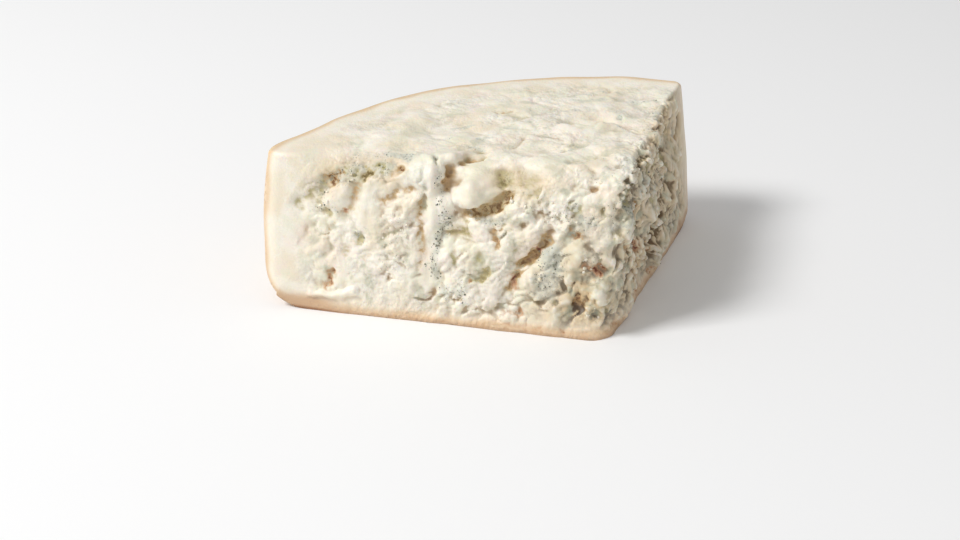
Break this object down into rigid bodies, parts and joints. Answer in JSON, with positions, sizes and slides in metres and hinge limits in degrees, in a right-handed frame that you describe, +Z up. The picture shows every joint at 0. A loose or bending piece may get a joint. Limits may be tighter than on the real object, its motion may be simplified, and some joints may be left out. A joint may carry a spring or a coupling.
{
  "type": "gorgonzola wedge",
  "caption": "Wedge of soft blue cheese, a quarter of a half-height wheel, with torn, creviced cut faces, blue-grey veins and a thin tan rind.",
  "frame": {"origin": "bottom centre of the wedge's box, on the surface it lies on", "axes": "+Z up, from the flat rind it lies on to the cut top; +Y from the tip edge to the middle of the curved rind; +X to the right seen from the tip"},
  "size_m": [0.2248, 0.1486, 0.0757],
  "materials": {
    "paste": "soft moist cream paste with blue-grey mould, tan at the rind"
  },
  "bodies": {
    "root": {"gorgonzola_wedge": "paste"}
  },
  "joints": []
}
